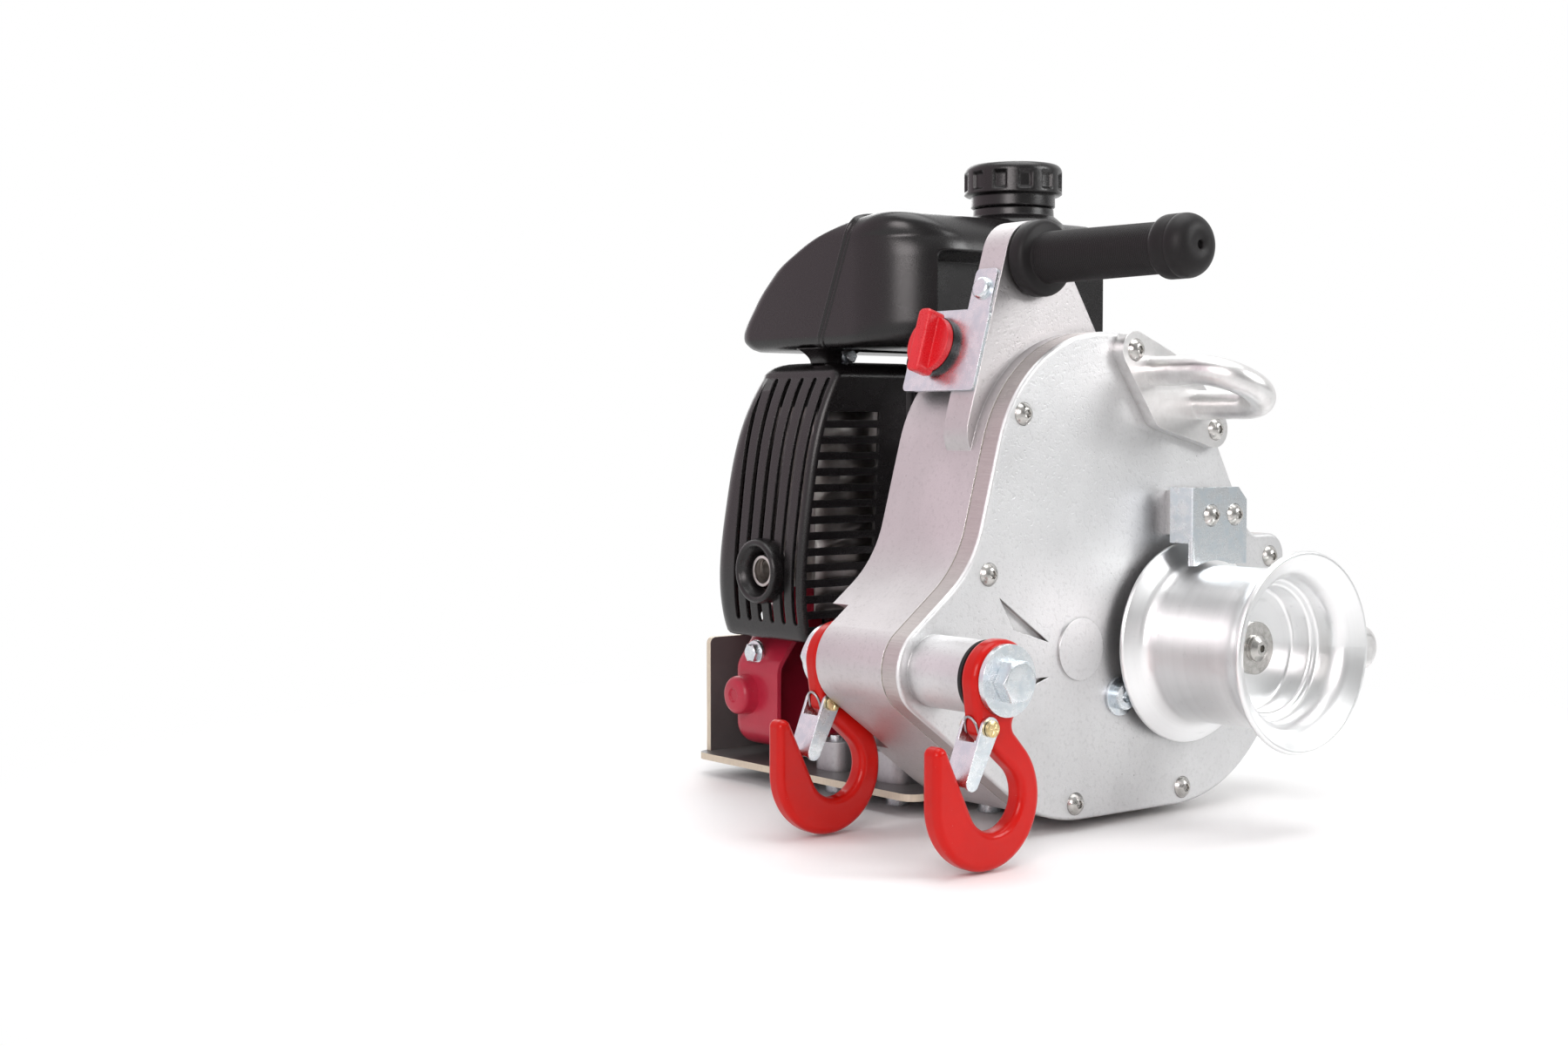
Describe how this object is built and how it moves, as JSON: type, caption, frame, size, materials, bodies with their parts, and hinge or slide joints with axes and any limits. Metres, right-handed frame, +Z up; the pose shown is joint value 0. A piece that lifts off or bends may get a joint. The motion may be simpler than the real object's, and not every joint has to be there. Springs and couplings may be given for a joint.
{
  "type": "capstan winch",
  "caption": "Portable engine-driven capstan winch: cast gear case with a flared rope drum, rope guide, two latched anchor hooks, carrying handle and a small petrol engine on a base plate",
  "frame": {"origin": "on the ground plane under the middle of the bounding box", "axes": "+Y from the rope drum towards the engine along the drum's axis, +X from the anchor hooks towards the drum, +Z up"},
  "size_m": [0.3544, 0.3702, 0.365],
  "materials": {
    "cast_aluminium": "bead-blasted casting with machined edges",
    "engine_aluminium": "raw die casting",
    "turned_aluminium": "turned, with fine rings",
    "satin_steel": "satin bar",
    "zinc_steel": "bright zinc plating",
    "rivet_metal": "yellow zinc",
    "gear_steel": "oiled machined steel",
    "flywheel_iron": "raw casting",
    "muffler_steel": "heat-stained sheet",
    "red_paint": "gloss red powder coat",
    "black_paint": "satin black powder coat",
    "black_plastic": "satin moulded plastic",
    "red_plastic": "gloss moulded plastic",
    "rubber": "moulded rubber",
    "gasket_paper": "pressed gasket sheet",
    "rope_fibre": "braided cord"
  },
  "bodies": {
    "winch": {"gear_cover": "cast_aluminium", "cover_gasket": "gasket_paper", "gear_case": "cast_aluminium", "cover_screws": "zinc_steel", "rope_stop_screws": "zinc_steel", "drain_plug": "zinc_steel", "anchor_bolt": "zinc_steel", "anchor_nut": "zinc_steel", "anchor_washers": "zinc_steel", "anchor_rubber_washers": "rubber", "shaft_bearings": "gear_steel", "shaft_seals": "rubber", "rope_stop_plate": "zinc_steel", "rope_guide": "satin_steel", "guide_pin": "satin_steel", "handle_bar": "zinc_steel", "handle_grip": "rubber", "base_plate": "black_paint", "foot_bolts": "zinc_steel", "crankcase": "engine_aluminium", "cylinder": "engine_aluminium", "tank_bracket": "black_paint", "clutch_housing": "cast_aluminium", "fan_cover": "red_paint", "starter_case": "black_paint", "muffler": "muffler_steel", "muffler_shield": "black_plastic", "fuel_tank": "black_plastic", "air_cleaner": "black_plastic", "carburettor": "engine_aluminium", "spark_plug": "rubber", "engine_leads": "rubber", "switch_bracket": "zinc_steel", "switch_body": "black_plastic"},
    "drum": {"capstan_drum": "turned_aluminium", "drum_shaft": "gear_steel", "final_gear": "gear_steel", "drum_screw": "zinc_steel"},
    "lay_b": {"lay_shaft_b": "gear_steel", "lay_gear_b": "gear_steel"},
    "lay_a": {"lay_shaft_a": "gear_steel", "lay_gear_a": "gear_steel"},
    "input": {"input_shaft": "gear_steel", "clutch_drum": "gear_steel"},
    "crank": {"crankshaft": "gear_steel", "clutch_shoes": "gear_steel", "flywheel": "flywheel_iron"},
    "front_hook": {"front_hook": "red_paint", "front_latch_rivet": "rivet_metal"},
    "front_latch": {"front_latch": "zinc_steel"},
    "rear_hook": {"rear_hook": "red_paint", "rear_latch_rivet": "rivet_metal"},
    "rear_latch": {"rear_latch": "zinc_steel"},
    "switch_knob": {"switch_knob": "red_plastic"},
    "fuel_cap": {"fuel_cap": "black_plastic"},
    "starter_grip": {"starter_grip": "black_plastic", "starter_rope": "rope_fibre"},
    "starter_pulley": {"starter_pulley": "black_plastic"},
    "choke_lever": {"choke_lever": "black_plastic"},
    "oil_cap": {"oil_cap": "black_plastic"}
  },
  "joints": [
    {"name": "drum_spin", "type": "hinge", "parent": "winch", "child": "drum", "pos_m": [0.04675, -0.0919, 0.0958], "axis": [0, 1, 0], "continuous": true},
    {"name": "lay_b_spin", "type": "hinge", "parent": "winch", "child": "lay_b", "pos_m": [-0.02815, -0.0919, 0.09201], "axis": [0, 1, 0], "continuous": true},
    {"name": "lay_a_spin", "type": "hinge", "parent": "winch", "child": "lay_a", "pos_m": [0.00601, -0.0919, 0.15877], "axis": [0, 1, 0], "continuous": true},
    {"name": "input_spin", "type": "hinge", "parent": "winch", "child": "input", "pos_m": [0.04675, -0.0919, 0.0958], "axis": [0, 1, 0], "continuous": true},
    {"name": "crank_spin", "type": "hinge", "parent": "winch", "child": "crank", "pos_m": [0.04675, -0.0919, 0.0958], "axis": [0, 1, 0], "continuous": true},
    {"name": "front_hook_swing", "type": "hinge", "parent": "winch", "child": "front_hook", "pos_m": [-0.13375, -0.1357, 0.092], "axis": [0, 1, 0], "continuous": true},
    {"name": "front_latch_swing", "type": "hinge", "parent": "front_hook", "child": "front_latch", "pos_m": [-0.14475, -0.1357, 0.07], "axis": [0, 1, 0], "range_deg": [-45, 0], "stiffness_Nm_per_rad": 0.03, "springref_deg": 20.05},
    {"name": "rear_hook_swing", "type": "hinge", "parent": "winch", "child": "rear_hook", "pos_m": [-0.13375, -0.0181, 0.092], "axis": [0, 1, 0], "range_deg": [0, 110]},
    {"name": "rear_latch_swing", "type": "hinge", "parent": "rear_hook", "child": "rear_latch", "pos_m": [-0.14475, -0.0181, 0.07], "axis": [0, 1, 0], "range_deg": [-45, 0], "stiffness_Nm_per_rad": 0.03, "springref_deg": 20.05},
    {"name": "switch_turn", "type": "hinge", "parent": "winch", "child": "switch_knob", "pos_m": [-0.08151, -0.0379, 0.25375], "axis": [-0.9578, 0, 0.2874], "range_deg": [0, 90]},
    {"name": "fuel_cap_turn", "type": "hinge", "parent": "winch", "child": "fuel_cap", "pos_m": [0.04025, 0.0321, 0.336], "axis": [0, 0, 1], "range_deg": [0, 90]},
    {"name": "starter_pull", "type": "slide", "parent": "winch", "child": "starter_grip", "axis": [0, 0, 1], "range_m": [0, 0.45], "stiffness_N_per_m": 20, "springref_m": -0.2, "deforming": ["starter_rope"]},
    {"name": "starter_pulley_spin", "type": "hinge", "parent": "winch", "child": "starter_pulley", "pos_m": [0.04675, 0.1681, 0.0958], "axis": [0, -1, 0], "range_deg": [0, 749]},
    {"name": "choke_turn", "type": "hinge", "parent": "winch", "child": "choke_lever", "pos_m": [0.11375, 0.0511, 0.18], "axis": [0, 1, 0], "range_deg": [0, 45]},
    {"name": "oil_cap_turn", "type": "hinge", "parent": "winch", "child": "oil_cap", "pos_m": [-0.01775, 0.0841, 0.049], "axis": [-1, 0, 0], "range_deg": [0, 360]}
  ],
  "couplings": [
    {"joint": "lay_b_spin", "follows": "drum_spin", "ratio": -4.7692},
    {"joint": "lay_a_spin", "follows": "drum_spin", "ratio": 22.746},
    {"joint": "input_spin", "follows": "drum_spin", "ratio": -108.48},
    {"joint": "starter_pulley_spin", "follows": "starter_pull", "rad_per_m": 28.985}
  ]
}
